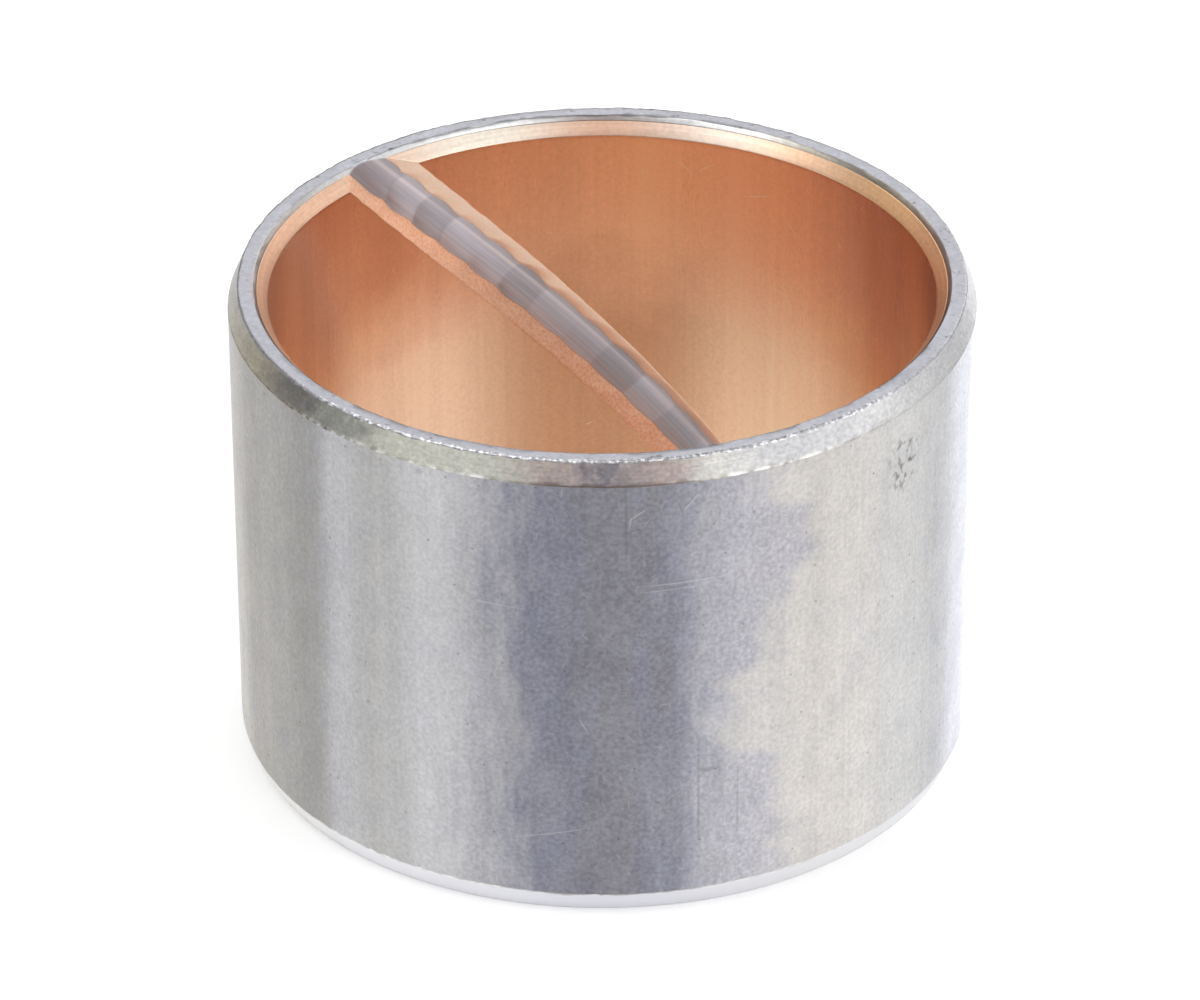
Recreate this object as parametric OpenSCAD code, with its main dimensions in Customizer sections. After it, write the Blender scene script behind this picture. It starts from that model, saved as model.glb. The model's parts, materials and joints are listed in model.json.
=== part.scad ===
// Steel-backed bronze bushing with a spiral oil groove.
// It stands on its lower end: Z is the axis of the bore, and Z = 0 is the lower end face.

/* [Wall] */
// Diameter of the finished bore
bore_d = 50; // [30:0.5:90]
// Thickness of the bronze lining
lining_t = 0.8; // [0.5:0.05:1.5]
// Thickness of the steel shell
shell_t = 2.2; // [1.6:0.1:6]
// Length from end face to end face
length = 38.5; // [15:0.5:90]

/* [Chamfers] */
// Length of the outer lead-in chamfer along the axis
lead_l = 1.8; // [0.8:0.1:4]
// Depth of the outer lead-in chamfer into the shell
lead_t = 0.8; // [0.3:0.05:1.2]
// Length of the inner mouth chamfer along the axis
mouth_l = 1.3; // [0.6:0.1:3]
// How far the inner mouth chamfer reaches past the lining into the shell
mouth_bite = 0.3; // [0.1:0.05:0.8]

/* [Oil groove] */
// Width of the groove at the bore, square to its run
groove_w = 5.1; // [3:0.1:8]
// How far the groove reaches past the lining into the shell
groove_bite = 0.26; // [0.11:0.05:0.56]
// Angle that the groove turns through from end to end
groove_turn = 82; // [20:1:180]
// Angle round from +X at which the groove leaves the lower end
groove_start = 53.5; // [0:0.5:360]

/* [Hidden] */

bore_r = bore_d / 2;
bond_r = bore_r + lining_t;
outer_r = bond_r + shell_t;
mouth_r = bond_r + mouth_bite;
groove_depth = lining_t + groove_bite;

// The groove is cut with a round-nosed tool, which starts and ends this far clear of the wall
tool_clearance = 0.5;
// Radius of the tool's nose, from the width and depth that it leaves
nose_r = (pow(groove_w / 2, 2) + pow(groove_depth, 2)) / (2 * groove_depth);
// Half of the angle round the nose, up to the clearance inside the bore
nose_half_angle = acos((nose_r - groove_depth - tool_clearance) / nose_r);
// Facets round the nose, and steps of the spiral run
nose_facets = 16;
run_steps = 48;
// Angle between the groove and the axis, measured on the bore
groove_slope = atan(bore_r * groove_turn * PI / 180 / length);

// Half section of the finished wall, with the lead-in and mouth chamfers turned on both ends
module wall_section() {
    polygon([
        [mouth_r, 0],
        [outer_r - lead_t, 0],
        [outer_r, lead_l],
        [outer_r, length - lead_l],
        [outer_r - lead_t, length],
        [mouth_r, length],
        [bore_r, length - mouth_l],
        [bore_r, mouth_l],
    ]);
}

// One layer of the wall: what the finished section keeps of a plain tube
module wall_layer(inner_r, thickness) {
    rotate_extrude($fn = 180)
        intersection() {
            wall_section();
            translate([inner_r, 0]) square([thickness, length]);
        }
}

// A point of the tool's nose, laid round the bore: across is the distance square to the groove
function on_bore(across, depth) =
    let (
        turn = across / cos(groove_slope) / bore_r * 180 / PI,
        r = bore_r + depth
    )
    [r * cos(turn), r * sin(turn)];

// The nose as it lies in a plane square to the axis, centred on +X
module nose_section() {
    polygon([
        for (i = [0 : nose_facets])
            let (a = nose_half_angle * (2 * i / nose_facets - 1))
            on_bore(nose_r * sin(a), groove_depth - nose_r * (1 - cos(a)))
    ]);
}

// What the tool removes on its spiral run from end to end
module groove_cut() {
    run = length + 2 * tool_clearance;
    turn_per_mm = groove_turn / length;
    translate([0, 0, -tool_clearance])
        rotate(groove_start - turn_per_mm * tool_clearance)
            linear_extrude(height = run, twist = -turn_per_mm * run, slices = run_steps)
                nose_section();
}

// Steel back, which is pressed into the housing
module steel_shell() {
    color("lightsteelblue")
        difference() {
            wall_layer(bond_r, shell_t);
            groove_cut();
        }
}

// Bronze bonded to the inside of the shell, which the shaft runs in
module bronze_lining() {
    color("peru")
        difference() {
            wall_layer(bore_r, lining_t);
            groove_cut();
        }
}

steel_shell();
bronze_lining();
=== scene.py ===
# %% [markdown]
# # A steel-backed bronze bushing
# A bushing is a plain bearing: a tube that is pressed into a housing, with a shaft turning in it. This
# one has a steel back for strength and a thin bronze lining for the shaft to run on, and a spiral
# groove carries oil along it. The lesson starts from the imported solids, which give every size, and
# builds the skin that a camera sees.

# %% Load the solids
import json
import math

import bpy
import numpy as np
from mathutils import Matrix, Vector


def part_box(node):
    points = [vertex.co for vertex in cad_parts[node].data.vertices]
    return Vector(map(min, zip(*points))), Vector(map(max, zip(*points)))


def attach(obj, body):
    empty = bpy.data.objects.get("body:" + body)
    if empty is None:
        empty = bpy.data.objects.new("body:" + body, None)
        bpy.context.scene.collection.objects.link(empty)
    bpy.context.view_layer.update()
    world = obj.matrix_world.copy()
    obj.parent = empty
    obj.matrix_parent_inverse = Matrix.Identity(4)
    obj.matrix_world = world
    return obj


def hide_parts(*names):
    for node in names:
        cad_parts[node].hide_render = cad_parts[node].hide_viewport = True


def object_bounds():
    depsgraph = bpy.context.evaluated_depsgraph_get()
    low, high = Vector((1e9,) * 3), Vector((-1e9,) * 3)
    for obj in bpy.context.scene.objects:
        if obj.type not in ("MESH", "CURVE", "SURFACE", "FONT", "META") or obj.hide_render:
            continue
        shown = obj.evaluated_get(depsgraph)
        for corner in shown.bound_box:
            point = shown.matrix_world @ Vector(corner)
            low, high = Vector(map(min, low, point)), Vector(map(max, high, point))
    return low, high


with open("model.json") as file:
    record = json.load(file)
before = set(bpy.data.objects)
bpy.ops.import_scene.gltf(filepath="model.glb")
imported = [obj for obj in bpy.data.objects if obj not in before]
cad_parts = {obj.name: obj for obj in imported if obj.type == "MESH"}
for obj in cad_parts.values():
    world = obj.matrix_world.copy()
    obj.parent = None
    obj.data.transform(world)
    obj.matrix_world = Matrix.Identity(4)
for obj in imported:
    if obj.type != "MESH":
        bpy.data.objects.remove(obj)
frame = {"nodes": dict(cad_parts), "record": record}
cad_low, cad_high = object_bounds()
print("solids:", sorted(frame["nodes"]), "box in metres:", list(cad_high - cad_low))

# %% [markdown]
# ## Sizes
# The skin has to lie on the solids, so its sizes are read from them: the two round mounts give the
# bore, the outside and the lengths that the chamfers leave of them, and the shell's own top ring gives
# the edges of its flat end face. Everything is worked out in millimetres and turned to metres once,
# when a mesh is made.

# %% Read the sizes from the frame
MM = 0.001
TURN = 2 * math.pi
# The solid's round faces are cut into flats, so a true circle is drawn this much smaller to stay inside
FLATS_MM = 0.01
TOP_RING_MM = 0.01

mounts = {mount["name"]: mount for mount in frame["record"]["mounts"]}
bore_r = mounts["bore"]["dims"]["r_mm"]
outer_r = mounts["outside"]["dims"]["r_mm"] - FLATS_MM
bond_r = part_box("bronze_lining")[1].x / MM
length = cad_high.z / MM
mouth_l = (length - mounts["bore"]["dims"]["length_mm"]) / 2
lead_l = (length - mounts["outside"]["dims"]["length_mm"]) / 2

solid_points = np.array([vertex.co for vertex in frame["nodes"]["steel_shell"].data.vertices]) / MM
top_ring = solid_points[solid_points[:, 2] > length - TOP_RING_MM]
top_radii = np.hypot(top_ring[:, 0], top_ring[:, 1])
mouth_r = top_radii.min()
land_r = top_radii.max()
lining_t = bond_r - bore_r
mouth_t = mouth_r - bore_r
print(f"bore {bore_r:.2f}, bond {bond_r:.2f}, outside {outer_r:.2f}, length {length:.2f}")
print(f"end face from {mouth_r:.2f} to {land_r:.2f}, chamfers {mouth_l:.2f} and {lead_l:.2f} long")

# %% [markdown]
# ## Camera
# The camera comes first, because every later choice is judged through it. The bushing is seen from well
# back with a long lens: the far rim is hardly smaller than the near one. Matching the rim's ellipses
# gives the elevation, and matching the taper of the sides gives the distance.

# %% Set up the camera
IMAGE_W = 1200
CAMERA_ELEVATION = 0.538
CAMERA_DISTANCE_MM = 515.9
AIM_HEIGHT_MM = 18.67
CAMERA_ROLL = -0.004
FOCAL_PX = 6775.7
AIM_OFFSET_PX = (3.0, 3.75)

camera_data = bpy.data.cameras.new("camera")
camera = bpy.data.objects.new("camera", camera_data)
bpy.context.scene.collection.objects.link(camera)
bpy.context.scene.camera = camera
camera_data.lens = camera_data.sensor_width * FOCAL_PX / IMAGE_W
camera_data.shift_x = -AIM_OFFSET_PX[0] / IMAGE_W
camera_data.shift_y = AIM_OFFSET_PX[1] / IMAGE_W
backwards = Vector((0, -math.cos(CAMERA_ELEVATION), math.sin(CAMERA_ELEVATION)))
camera.location = Vector((0, 0, AIM_HEIGHT_MM * MM)) + backwards * CAMERA_DISTANCE_MM * MM
camera.rotation_euler = (-backwards).to_track_quat("-Z", "Y").to_euler()
camera.rotation_euler.rotate_axis("Z", CAMERA_ROLL)
print(f"camera with a {camera_data.lens:.0f} mm lens at {[round(x, 3) for x in camera.location]}")

# %% [markdown]
# ## Helpers for materials
# A few small helpers serve every material. The first turns a colour as it is picked on a screen (sRGB)
# into the linear values that a renderer adds and multiplies. The second adds one node, sets it up and
# links it, so that a material reads as a short list of steps.

# %% Colours and nodes
def linear(hex_colour):
    """An sRGB hex colour as linear RGBA."""
    channels = [int(hex_colour[i : i + 2], 16) / 255 for i in (1, 3, 5)]
    return tuple(c / 12.92 if c <= 0.04045 else ((c + 0.055) / 1.055) ** 2.4 for c in channels) + (1.0,)


def add(tree, kind, inputs=None, **settings):
    """Adds a node and sets or links its inputs. Another node as an input stands for its first output."""
    node = tree.nodes.new(kind)
    for name, value in settings.items():
        setattr(node, name, value)
    for key, value in (inputs or {}).items():
        if isinstance(value, bpy.types.Node):
            value = value.outputs[0]
        if isinstance(value, bpy.types.NodeSocket):
            tree.links.new(value, node.inputs[key])
        else:
            node.inputs[key].default_value = value
    return node


def new_material(name):
    """An empty material and the tree of its nodes."""
    material = bpy.data.materials.new(name)
    material.use_nodes = True
    material.node_tree.nodes.clear()
    return material, material.node_tree


print("mid grey on a screen, as linear light:", round(linear("#808080")[0], 3))

# %% [markdown]
# ## Patterns
# A machined surface is never one even colour: tools leave lines, handling leaves scratches, and air
# leaves a bloom. All of these are drawn from the position on the part, in millimetres, so each pattern
# has a real size. The same point is also unrolled, as the distance round the part and the height, for
# marks that lie on the skin like a label.

# %% Places on the part
FRONT, BACK = -1.0, 1.0


def places(tree, radius, side=FRONT):
    """The point in mm, its degrees round from one side, its height, and its place on the unrolled skin."""
    point = add(tree, "ShaderNodeTexCoord").outputs["Object"]
    point = add(tree, "ShaderNodeVectorMath", {0: point, "Scale": 1 / MM}, operation="SCALE")
    parts = add(tree, "ShaderNodeSeparateXYZ", {0: point})
    to_side = add(tree, "ShaderNodeMath", {0: parts.outputs["Y"], 1: side}, operation="MULTIPLY")
    turn = add(tree, "ShaderNodeMath", {0: parts.outputs["X"], 1: to_side}, operation="ARCTAN2")
    degrees = add(tree, "ShaderNodeMath", {0: turn}, operation="DEGREES")
    round_mm = add(tree, "ShaderNodeMath", {0: turn, 1: radius}, operation="MULTIPLY")
    unrolled = add(tree, "ShaderNodeCombineXYZ", {0: round_mm, 1: parts.outputs["Z"]})
    return point, degrees, parts.outputs["Z"], unrolled


def blend(tree, value, stops):
    """What goes with a value: a colour or a number from 0 to 1, easing from each stop to the next."""
    low, high = stops[0][0], stops[-1][0]
    share = add(tree, "ShaderNodeMapRange", {"Value": value, "From Min": low, "From Max": high})
    ramp = add(tree, "ShaderNodeValToRGB", {0: share})
    ramp.color_ramp.interpolation = "EASE"
    while len(ramp.color_ramp.elements) < len(stops):
        ramp.color_ramp.elements.new(0.5)
    for element, (place, what) in zip(ramp.color_ramp.elements, stops):
        element.position = (place - low) / (high - low)
        element.color = linear(what) if isinstance(what, str) else (what, what, what, 1)
    return ramp


print(f"one degree round the outside is {math.radians(1) * outer_r:.2f} mm")

# %% [markdown]
# ## Grain, scratches and marks
# Three patterns do nearly everything. Grain is soft noise, and stretching it along one axis turns it
# into streaks. Scratches are short straight lines, one to a cell of an uneven grid. A mark is a single
# soft oval at a known place, and a very thin oval makes a long scratch.

# %% Patterns
# Noise seldom leaves this range
NOISE_RANGE = (0.28, 0.72)
# A scratch tapers off from this share of its reach, and a mark from this share of its size
SCRATCH_TAPER = 0.6
MARK_CORE = 0.5


def grain(tree, place, per_mm, low, high, detail=2.0):
    """Uneven grain with so many lumps a millimetre along each axis, spread from low to high."""
    scaled = add(tree, "ShaderNodeVectorMath", {0: place, 1: per_mm}, operation="MULTIPLY")
    noise = add(tree, "ShaderNodeTexNoise", {"Vector": scaled, "Scale": 1.0, "Detail": detail})
    start, end = NOISE_RANGE
    ends = {"Value": noise, "From Min": start, "From Max": end, "To Min": low, "To Max": high}
    return add(tree, "ShaderNodeMapRange", ends)


def scratches(tree, unrolled, cell, width, reach, share):
    """A mask of short straight scratches: one in a share of the cells, each turned its own way."""
    grid = {"Vector": unrolled, "Scale": 1 / cell}
    cells = add(tree, "ShaderNodeTexVoronoi", grid, voronoi_dimensions="2D")
    middle = cells.outputs["Position"]
    offset = add(tree, "ShaderNodeVectorMath", {0: unrolled, 1: middle}, operation="SUBTRACT")
    dice = add(tree, "ShaderNodeSeparateColor", {0: cells.outputs["Color"]})
    turn = add(tree, "ShaderNodeMath", {0: dice.outputs[0], 1: TURN}, operation="MULTIPLY")
    turned = add(tree, "ShaderNodeVectorRotate", {"Vector": offset, "Angle": turn}, rotation_type="Z_AXIS")
    sizes = add(tree, "ShaderNodeVectorMath", {0: turned}, operation="ABSOLUTE")
    parts = add(tree, "ShaderNodeSeparateXYZ", {0: sizes})
    thin = {"Value": parts.outputs[0], "From Min": 0.0, "From Max": width, "To Min": 1.0, "To Max": 0.0}
    taper = SCRATCH_TAPER * reach
    short = {"Value": parts.outputs[1], "From Min": taper, "From Max": reach, "To Min": 1.0, "To Max": 0.0}
    line = add(tree, "ShaderNodeMapRange", thin)
    ends = add(tree, "ShaderNodeMapRange", short)
    line = add(tree, "ShaderNodeMath", {0: line, 1: ends}, operation="MULTIPLY")
    kept = add(tree, "ShaderNodeMath", {0: dice.outputs[1], 1: share}, operation="LESS_THAN")
    return add(tree, "ShaderNodeMath", {0: line, 1: kept}, operation="MULTIPLY")


def mark(tree, unrolled, radius, degrees, height, half_width, half_height, lean=0.0):
    """A mask with one soft oval of those half sizes in mm on the skin, leaning by some degrees."""
    settings = {
        "Vector": unrolled,
        "Location": (math.radians(degrees) * radius, height, 0),
        "Rotation": (0, 0, math.radians(lean)),
        "Scale": (half_width, half_height, 1),
    }
    local = add(tree, "ShaderNodeMapping", settings, vector_type="TEXTURE")
    away = add(tree, "ShaderNodeVectorMath", {0: local}, operation="LENGTH").outputs["Value"]
    ends = {"Value": away, "From Min": MARK_CORE, "From Max": 1.0, "To Min": 1.0, "To Max": 0.0}
    return add(tree, "ShaderNodeMapRange", ends)


print("patterns ready: grain, scratches and marks, all sized in mm")

# %% [markdown]
# ## Mixing and bare metal
# Patterns act on a colour in two ways: they tint it, going over to another colour by a share, or they
# shade it, making it lighter and darker. The finished colour goes into one bare-metal shader. On metal
# the machining lines matter as much as the colour, because they stretch each highlight to the side
# across the lines.

# %% Tint, shade and finish
def tinted(tree, colour, share, other, strength=1.0):
    """A colour that goes over to another by share times strength, each a number or a pattern."""
    share = add(tree, "ShaderNodeMath", {0: share, 1: strength}, operation="MULTIPLY")
    return add(tree, "ShaderNodeMix", {0: share, 6: colour, 7: other}, data_type="RGBA").outputs[2]


def shaded(tree, colour, *factors):
    """A colour made lighter or darker by patterns around 1."""
    for factor in factors:
        grey = add(tree, "ShaderNodeCombineColor", {0: factor, 1: factor, 2: factor})
        parts = {0: 1.0, 6: colour, 7: grey}
        colour = add(tree, "ShaderNodeMix", parts, data_type="RGBA", blend_type="MULTIPLY").outputs[2]
    return colour


def metal(tree, colour, roughness, height, height_mm, anisotropy=0.0, rotation=0.0):
    """Bare metal with a fine relief, whose machining lines stretch its highlights one way."""
    relief = add(tree, "ShaderNodeBump", {"Height": height, "Distance": height_mm * MM})
    tangent = add(tree, "ShaderNodeTangent", direction_type="RADIAL", axis="Z")
    values = {
        "Base Color": colour,
        "Metallic": 1.0,
        "Roughness": roughness,
        "Anisotropic": anisotropy,
        "Anisotropic Rotation": rotation,
        "Tangent": tangent,
        "Normal": relief,
    }
    shader = add(tree, "ShaderNodeBsdfPrincipled", values)
    add(tree, "ShaderNodeOutputMaterial", {"Surface": shader})
    print("material finished with", len(tree.nodes), "nodes")


print("helpers ready: tinted, shaded and metal")

# %% [markdown]
# ## Ground steel
# The outside is ground to size between a wheel and a roller. The lines run round the part and are far
# too fine to see, but they spread every highlight up and down, which gives the soft upright bands of
# light and shade. Damp air has left a blue-grey bloom on the front: thick and dark in the middle, thin
# and ragged where it gives way to clean metal.

# %% Bloom on the ground steel
# A quarter turn from the lines: highlights stretch up and down
UPRIGHT = 0.25
# Heights in mm and the angle in degrees at which the bloom ends there
BLOOM_EDGE = (
    (0, 28), (11.5, 27), (14, 18), (19, 18), (21, 26), (26, 26), (29, 33), (32, 32), (34.5, 24),
    (38.5, 27),
)
# A ramp holds values up to 1, so it holds these angles as shares of a quarter turn
QUARTER = 90.0
# Degrees over which the bloom sets in on the other side
BLOOM_START = (-26.0, -11.0)
# Degrees over which the bloom's ragged edge fades
BLOOM_FADE = (-3.0, 3.5)

# Ground: no sharp highlight, only soft upright bands
ground_steel, tree = new_material("ground_steel")
point, degrees, height, unrolled = places(tree, outer_r)
edge = blend(tree, height, [(z, angle / QUARTER) for z, angle in BLOOM_EDGE])
edge = add(tree, "ShaderNodeMapRange", {"Value": edge, "To Max": QUARTER})
ragged = grain(tree, point, (0.4, 0.4, 0.4), -4.0, 4.0, 4.0)
edge = add(tree, "ShaderNodeMath", {0: edge, 1: ragged})
inside = add(tree, "ShaderNodeMath", {0: edge, 1: degrees}, operation="SUBTRACT")
ends = {"Value": inside, "From Min": BLOOM_FADE[0], "From Max": BLOOM_FADE[1]}
bloom = add(tree, "ShaderNodeMapRange", ends)
waver = grain(tree, point, (0.5, 0.5, 0.12), -4.5, 4.5, 4.0)
wavy = add(tree, "ShaderNodeMath", {0: degrees, 1: waver})
ends = {"Value": wavy, "From Min": BLOOM_START[0], "From Max": BLOOM_START[1]}
start = add(tree, "ShaderNodeMapRange", ends)
bloom = add(tree, "ShaderNodeMath", {0: bloom, 1: start}, operation="MULTIPLY")
patchy = grain(tree, point, (0.25, 0.25, 0.15), 0.75, 1.0, 3.0)
bloom = add(tree, "ShaderNodeMath", {0: bloom, 1: patchy}, operation="MULTIPLY")
print("the bloom runs from", BLOOM_START[0], "degrees to", max(angle for z, angle in BLOOM_EDGE))

# %% [markdown]
# Under the bloom the clean metal is neutral, a little warmer to one side, and its colour round the part
# also holds painted upright bands of light and shade. The fine speckle is the grain of the steel, and it
# shows most where the bloom has settled in it. The upright streaks are where the part slid along its
# guides. Real ones are far finer: they are drawn a third of a millimetre wide, so that they show in a
# picture.

# %% Colour of the ground steel
# Degrees from the front, and the colour there
BLOOM_COLOURS = (
    (-18, "#b6b6bf"), (-12, "#a1a2b3"), (-5, "#a0a1b0"), (0, "#9f9ea8"), (5, "#9f9ea8"),
    (8, "#a2a2b1"), (12, "#b0b1bf"), (17, "#c3c2ca"), (40, "#cdcacd"),
)
# Painted light: the clean colours round the part also hold upright bands of light and shade, as lighter
# and darker stops side by side
CLEAN_METAL_AND_LIGHT_BANDS = (
    (-180, "#dddcdc"), (-90, "#e8e6e3"), (-76, "#e2dfdb"), (-69, "#d0cdc9"), (-58, "#d2d0cd"),
    (-50, "#c6c4c2"), (-44, "#e3e2e5"), (-37, "#d4d3d2"), (-27, "#dedddf"), (10, "#d8d6d6"),
    (35, "#dcd8d4"), (55, "#dcdbda"), (63, "#d3d3d5"), (71, "#e6e7ed"), (90, "#e4e5ea"),
    (180, "#dddcdc"),
)
# Painted light: near the paper the outside is painted a little lighter: heights in mm, and the shade at
# each
PAPER_LIGHT = {"From Min": 6.0, "From Max": 26.0, "To Min": 1.06, "To Max": 1.0}

clean = blend(tree, degrees, CLEAN_METAL_AND_LIGHT_BANDS)
colour = tinted(tree, clean, bloom, blend(tree, wavy, BLOOM_COLOURS))
least = add(tree, "ShaderNodeMapRange", {"Value": bloom, "To Min": 0.9, "To Max": 0.82})
most = add(tree, "ShaderNodeMapRange", {"Value": bloom, "To Min": 1.1, "To Max": 1.18})
tooth = grain(tree, point, (3.2, 3.2, 3.2), 0.0, 1.0, 3.0)
speckle = add(tree, "ShaderNodeMapRange", {"Value": tooth, "To Min": least, "To Max": most})
lines = grain(tree, point, (3.0, 3.0, 0.03), 0.97, 1.03, 2.0)
bands = grain(tree, point, (0.4, 0.4, 0.015), 0.96, 1.04, 3.0)
clouds = grain(tree, point, (0.4, 0.4, 0.3), 0.955, 1.045, 4.0)
stain = grain(tree, point, (0.35, 0.35, 0.25), -0.8, 1.0, 4.0)
colour = tinted(tree, colour, stain, linear("#c0c2d0"), 0.18)
lighter = add(tree, "ShaderNodeMapRange", {"Value": height, **PAPER_LIGHT})
colour = shaded(tree, colour, speckle, lines, bands, clouds, lighter)
print(len(CLEAN_METAL_AND_LIGHT_BANDS), "colours of clean metal and", len(BLOOM_COLOURS), "of bloom")

# %% [markdown]
# Handling leaves its own marks: hair scratches that catch the light, a few long ones, and dark smudges
# of old oil. The hair scratches would really be a hundredth of a millimetre wide, and are drawn about a
# tenth.

# %% Marks on the ground steel
# Degrees from the front, height, half length, half width, lean in degrees
LONG_SCRATCHES = (
    (12, 28.4, 4.4, 0.06, 1.5),
    (10, 27.9, 3.0, 0.05, 2.5),
    (-8, 7.0, 4.0, 0.06, 12),
    (-16, 26.3, 2.6, 0.05, -3),
    (5, 34.3, 1.0, 0.09, 35),
    (4, 33.7, 0.6, 0.08, 80),
    (13, 35.0, 1.1, 0.08, 50),
    (-3, 16.5, 0.9, 0.06, -60),
)
# Degrees from the front, height, half width, half height
DARK_MARKS = (
    (14.3, 10.0, 0.13, 4.8), (20.5, 9.0, 0.1, 4.0), (3.4, 33.0, 0.12, 3.5), (16.0, 12.1, 0.9, 0.3),
    (-28, 36.2, 0.4, 0.3),
)
SMUDGE = (51.5, 32.4, 2.2, 2.7)
# Moves the uneven grid of the dots, so that they don't follow the hair scratches
DOT_SHIFT = (7.3, 3.1, 0)

hairs = scratches(tree, unrolled, 1.2, 0.045, 0.4, 0.25)
shown = add(tree, "ShaderNodeMapRange", {"Value": bloom, "To Min": 0.12, "To Max": 0.38})
colour = tinted(tree, colour, hairs, linear("#f4f2f0"), shown)
for scratch in LONG_SCRATCHES:
    colour = tinted(tree, colour, mark(tree, unrolled, outer_r, *scratch), linear("#f0eeec"), 0.4)
for dark_mark in DARK_MARKS:
    colour = tinted(tree, colour, mark(tree, unrolled, outer_r, *dark_mark), linear("#7d7b83"), 0.25)
shifted = add(tree, "ShaderNodeVectorMath", {0: unrolled, 1: DOT_SHIFT})
dots = scratches(tree, shifted, 3.0, 0.11, 0.12, 0.3)
colour = tinted(tree, colour, dots, linear("#75685f"), 0.55)
specks = grain(tree, point, (2.0, 2.0, 1.6), -1.08, 0.96, 3.0)
colour = tinted(tree, colour, specks, linear("#6a625c"), mark(tree, unrolled, outer_r, *SMUDGE))
roughness = grain(tree, point, (2.5, 2.5, 2.5), 0.57, 0.63)
metal(tree, colour, roughness, tooth, 0.004, anisotropy=0.95, rotation=UPRIGHT)

# %% [markdown]
# ## Turned steel
# A lathe tool cut the outer chamfers, so their lines run round the part too, but coarser: one every
# 0.14 mm. The tool's heat and later damp tinted them in patches, from straw and olive on one side to
# almost clean on the other. A ramp round the part gives the tints, and noise makes their borders ragged.

# %% Tints of the turned steel
# Degrees from the front, and the colour there
CHAMFER_TINT = (
    (-180, "#bcbbbb"), (-90, "#a8a49f"), (-68, "#a8a18e"), (-54, "#7e7b76"), (-44, "#a4a49e"),
    (-33, "#d9d9cd"), (-18, "#dcdcd2"), (-7, "#cdbdb8"), (-3, "#bcb0b2"), (0, "#96929a"),
    (3, "#bfb3b4"), (9, "#cdbdb9"), (16, "#cccac5"), (27, "#b2b1b3"), (50, "#cbcbcc"),
    (72, "#b4b4b6"), (90, "#d4d4d7"), (180, "#bcbbbb"),
)
# Degrees from the front, and how strong the blotches are there
BLOTCHED = (
    (-180, 0.3), (-75, 0.5), (-55, 1), (-42, 0.6), (-28, 0.2), (-10, 0.3), (-2, 0.9), (10, 0.9),
    (18, 0.3), (90, 0.2), (180, 0.3),
)
# The lower chamfer has its own, cleaner tint, painted lighter as painted light from the paper it faces
LOWER_TINT_AND_PAPER_LIGHT = (
    (-180, "#dcdce2"), (-60, "#f2f1ee"), (-40, "#f0f0f3"), (-20, "#ebebf0"), (0, "#e4e4ea"),
    (40, "#e8e8ea"), (80, "#eaeaee"), (180, "#dcdce2"),
)

# Lumps of grain for each degree round the part: few, so that turning lines are long
LINE_GRAIN = 0.05


def turning_lines(tree, degrees, height, per_mm, low, high, detail):
    """Lines round the part, so many a millimetre, as a lathe tool leaves them."""
    around = add(tree, "ShaderNodeMath", {0: degrees, 1: LINE_GRAIN}, operation="MULTIPLY")
    place = add(tree, "ShaderNodeCombineXYZ", {0: around, 1: height})
    return grain(tree, place, (1.0, per_mm, 1.0), low, high, detail)


# Turned: a satin ring that keeps the lamps apart
turned_steel, tree = new_material("turned_steel")
point, degrees, height = places(tree, outer_r)[:3]
low_half = add(tree, "ShaderNodeMath", {0: height, 1: length / 2}, operation="LESS_THAN")
turning = turning_lines(tree, degrees, height, 7.0, 0.93, 1.06, 3.0)
speckle = grain(tree, point, (3.2, 3.2, 4.0), 0.83, 1.16, 3.0)
ragged = grain(tree, point, (1.2, 1.2, 1.2), -3.0, 3.0, 4.0)
ragged = add(tree, "ShaderNodeMath", {0: degrees, 1: ragged})
colour = shaded(tree, blend(tree, ragged, CHAMFER_TINT), turning, speckle)
blotches = grain(tree, point, (0.55, 0.55, 0.8), -0.65, 0.65, 5.0)
colour = tinted(tree, colour, blotches, linear("#77747a"), blend(tree, degrees, BLOTCHED))
colour = tinted(tree, colour, low_half, blend(tree, degrees, LOWER_TINT_AND_PAPER_LIGHT))
print(len(CHAMFER_TINT), "tints round the upper chamfer and", len(LOWER_TINT_AND_PAPER_LIGHT), "round the lower one")

# %% [markdown]
# Where the chamfer meets the ground outside, a dark line is painted along the edge as painted shade, and
# here and there a near-white painted highlight makes the edge bright. Both masks come from the distance to
# that edge, so they follow it all the way round.

# %% Edge of the turned steel
# Degrees from the front, and how strong the painted shade and the painted highlight along the edge are
# there
EDGE_SHADE = (
    (-180, 0.5), (-90, 0.8), (-45, 0.7), (-30, 0.4), (-14, 0.5), (-6, 0.8), (5, 0.8), (25, 0.25),
    (180, 0.5),
)
EDGE_HIGHLIGHT = (
    (-180, 0.1), (-58, 0.1), (-42, 0.9), (-18, 0.9), (-8, 0.0), (12, 0.0), (20, 0.7), (60, 0.1),
    (180, 0.1),
)

from_middle = add(tree, "ShaderNodeMath", {0: height, 1: length / 2}, operation="SUBTRACT")
from_middle = add(tree, "ShaderNodeMath", {0: from_middle}, operation="ABSOLUTE")
edge_gap = add(tree, "ShaderNodeMath", {0: from_middle, 1: length / 2 - lead_l}, operation="SUBTRACT")
# Painted shade: a dark line painted along the edge, of uneven width
edge_shade_width = grain(tree, point, (0.9, 0.9, 0.9), 0.04, 0.4, 4.0)
edge_shade = {"Value": edge_gap, "From Min": 0.02, "From Max": edge_shade_width, "To Min": 1.0, "To Max": 0.0}
edge_shade = add(tree, "ShaderNodeMapRange", edge_shade)
colour = tinted(tree, colour, edge_shade, linear("#6a5a4c"), blend(tree, degrees, EDGE_SHADE))
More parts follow.
